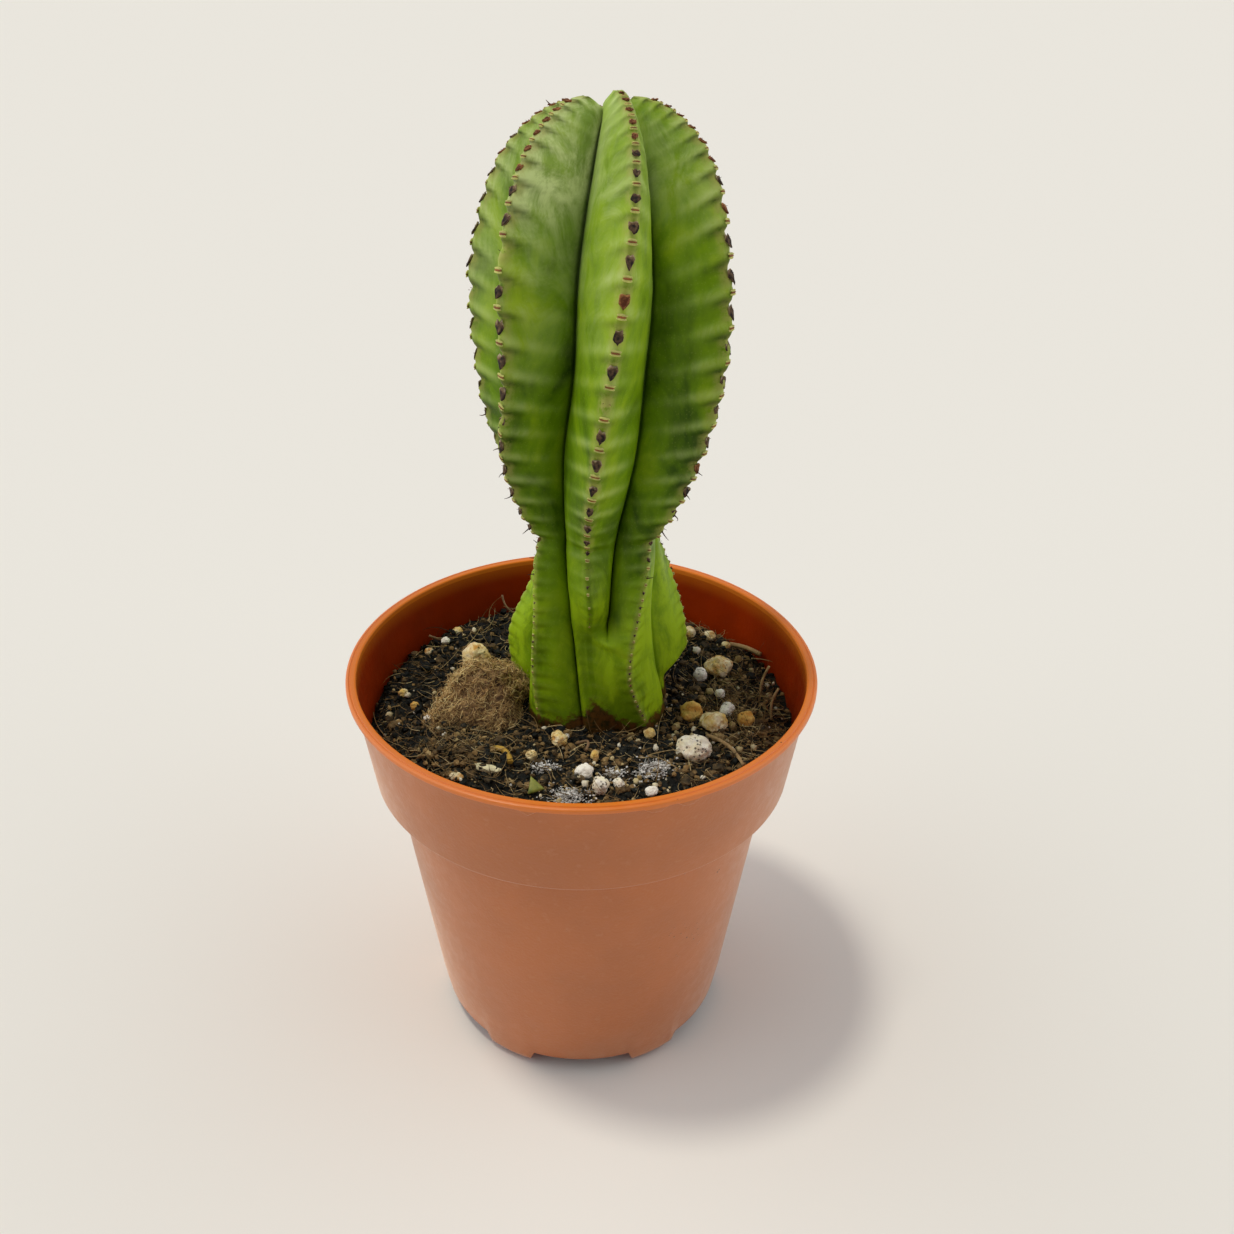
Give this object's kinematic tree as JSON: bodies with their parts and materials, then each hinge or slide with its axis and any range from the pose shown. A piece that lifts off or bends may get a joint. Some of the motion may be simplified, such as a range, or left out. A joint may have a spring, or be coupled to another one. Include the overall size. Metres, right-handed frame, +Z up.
{
  "type": "potted euphorbia",
  "caption": "Ribbed, club-shaped green succulent with scalloped crests, standing in peat mix strewn with pumice, in a round terracotta-coloured plastic nursery pot with a stepped collar.",
  "frame": {"origin": "on the pot's axis, at the level its feet stand on", "axes": "+Z up; -Y towards the front, the side with the rib that starts above the soil; +X to the right seen from the front"},
  "size_m": [0.105, 0.105, 0.2125],
  "materials": {
    "terracotta_plastic": "satin injection-moulded plastic, dusty and lightly scuffed",
    "euphorbia_skin": "waxy living skin, matt, glaucous towards the top",
    "dark_peat": "crumbly, matt, slightly damp",
    "matted_peat": "fibrous, dry and matt",
    "pumice": "porous, pitted and matt",
    "dry_straw": "dry and matt",
    "green_scrap": "dry leaf scrap, matt"
  },
  "bodies": {
    "root": {"pot": "terracotta_plastic", "potting_mix": "dark_peat", "euphorbia_stem": "euphorbia_skin", "peat_clump": "matted_peat", "bark_sliver": "pumice", "leaf_scrap": "green_scrap", "pumice_01": "pumice", "pumice_02": "pumice", "pumice_03": "pumice", "pumice_04": "pumice", "pumice_05": "pumice", "pumice_06": "pumice", "pumice_07": "pumice", "pumice_08": "pumice", "pumice_09": "pumice", "pumice_10": "pumice", "pumice_11": "pumice", "pumice_12": "pumice", "pumice_13": "pumice", "pumice_14": "pumice", "pumice_15": "pumice", "pumice_16": "pumice", "pumice_17": "pumice", "pumice_18": "pumice", "pumice_19": "pumice", "pumice_20": "pumice", "pumice_21": "pumice", "pumice_22": "pumice", "pumice_23": "pumice", "pumice_24": "pumice", "pumice_25": "pumice", "pumice_26": "pumice", "pumice_27": "pumice", "pumice_28": "pumice", "straw_01": "dry_straw", "straw_02": "dry_straw", "straw_03": "dry_straw", "straw_04": "dry_straw", "root_01": "dry_straw", "root_02": "dry_straw", "root_03": "dry_straw", "bark_curl": "dry_straw"}
  },
  "joints": []
}
